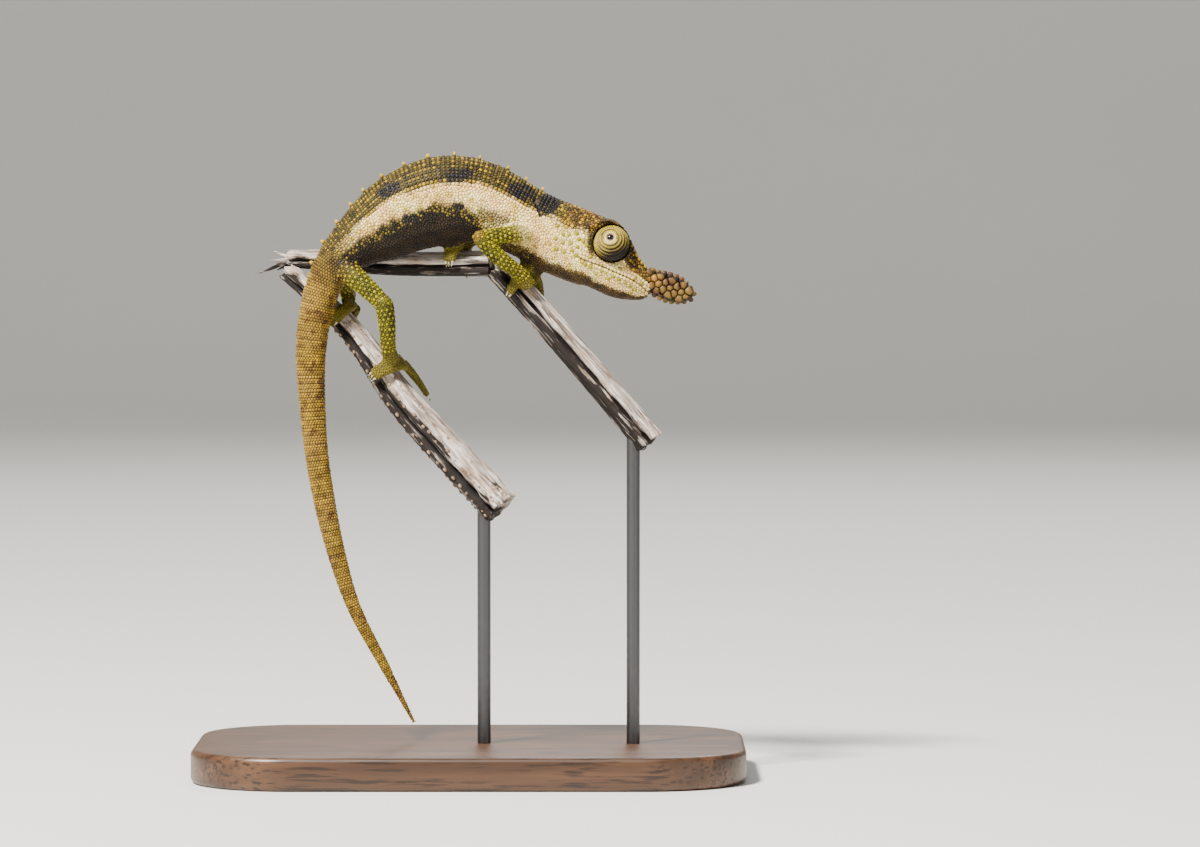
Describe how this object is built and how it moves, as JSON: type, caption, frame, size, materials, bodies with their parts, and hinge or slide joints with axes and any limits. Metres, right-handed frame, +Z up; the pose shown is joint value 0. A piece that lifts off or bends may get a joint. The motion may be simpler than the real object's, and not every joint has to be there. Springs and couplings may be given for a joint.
{
  "type": "nose-horned chameleon",
  "caption": "Slender lizard with a scaly blade on its nose and a long hanging tail, gripping a broken twig on a low stand.",
  "frame": {"origin": "centre of the underside of the stand's base, which rests on the floor", "axes": "+Z up, +X the way the animal faces, its right side towards -Y"},
  "size_m": [0.066, 0.042, 0.0745],
  "materials": {
    "skin_head": "matt, finely scaled skin",
    "skin_body": "matt, finely scaled skin",
    "skin_tail": "matt skin with fine rings of scales",
    "skin_legs": "matt skin with raised round scales",
    "skin_feet": "matt skin, pale horn at the claws",
    "eyelid": "matt skin in rings of small scales",
    "eye": "wet gloss",
    "horn": "satin, large rounded scales",
    "twig": "bare weathered wood",
    "stand_wood": "oiled",
    "stand_steel": "darkened, satin"
  },
  "bodies": {
    "root": {"head": "skin_head", "neck": "skin_head", "torso_front": "skin_body", "torso_mid": "skin_body", "torso_rear": "skin_body", "tail_base": "skin_tail", "tail_2": "skin_tail", "tail_3": "skin_tail", "tail_4": "skin_tail", "tail_tip": "skin_tail", "upper_arm_fore_right": "skin_legs", "forearm_fore_right": "skin_legs", "upper_arm_fore_left": "skin_legs", "forearm_fore_left": "skin_legs", "thigh_hind_right": "skin_legs", "shank_hind_right": "skin_legs", "thigh_hind_left": "skin_legs", "shank_hind_left": "skin_legs", "toes_outer_fore_right": "skin_feet", "toes_inner_fore_right": "skin_feet", "toes_outer_fore_left": "skin_feet", "toes_inner_fore_left": "skin_feet", "toes_outer_hind_right": "skin_feet", "toes_inner_hind_right": "skin_feet", "toes_outer_hind_left": "skin_feet", "toes_inner_hind_left": "skin_feet", "eyelid_right": "eyelid", "eyelid_left": "eyelid", "eye_right": "eye", "eye_left": "eye", "nose_horn": "horn", "perch_bar": "twig", "perch_thick_arm": "twig", "perch_thin_arm": "twig", "stand_base": "stand_wood", "stand_rod_rear": "stand_steel", "stand_rod_front": "stand_steel"}
  },
  "joints": []
}
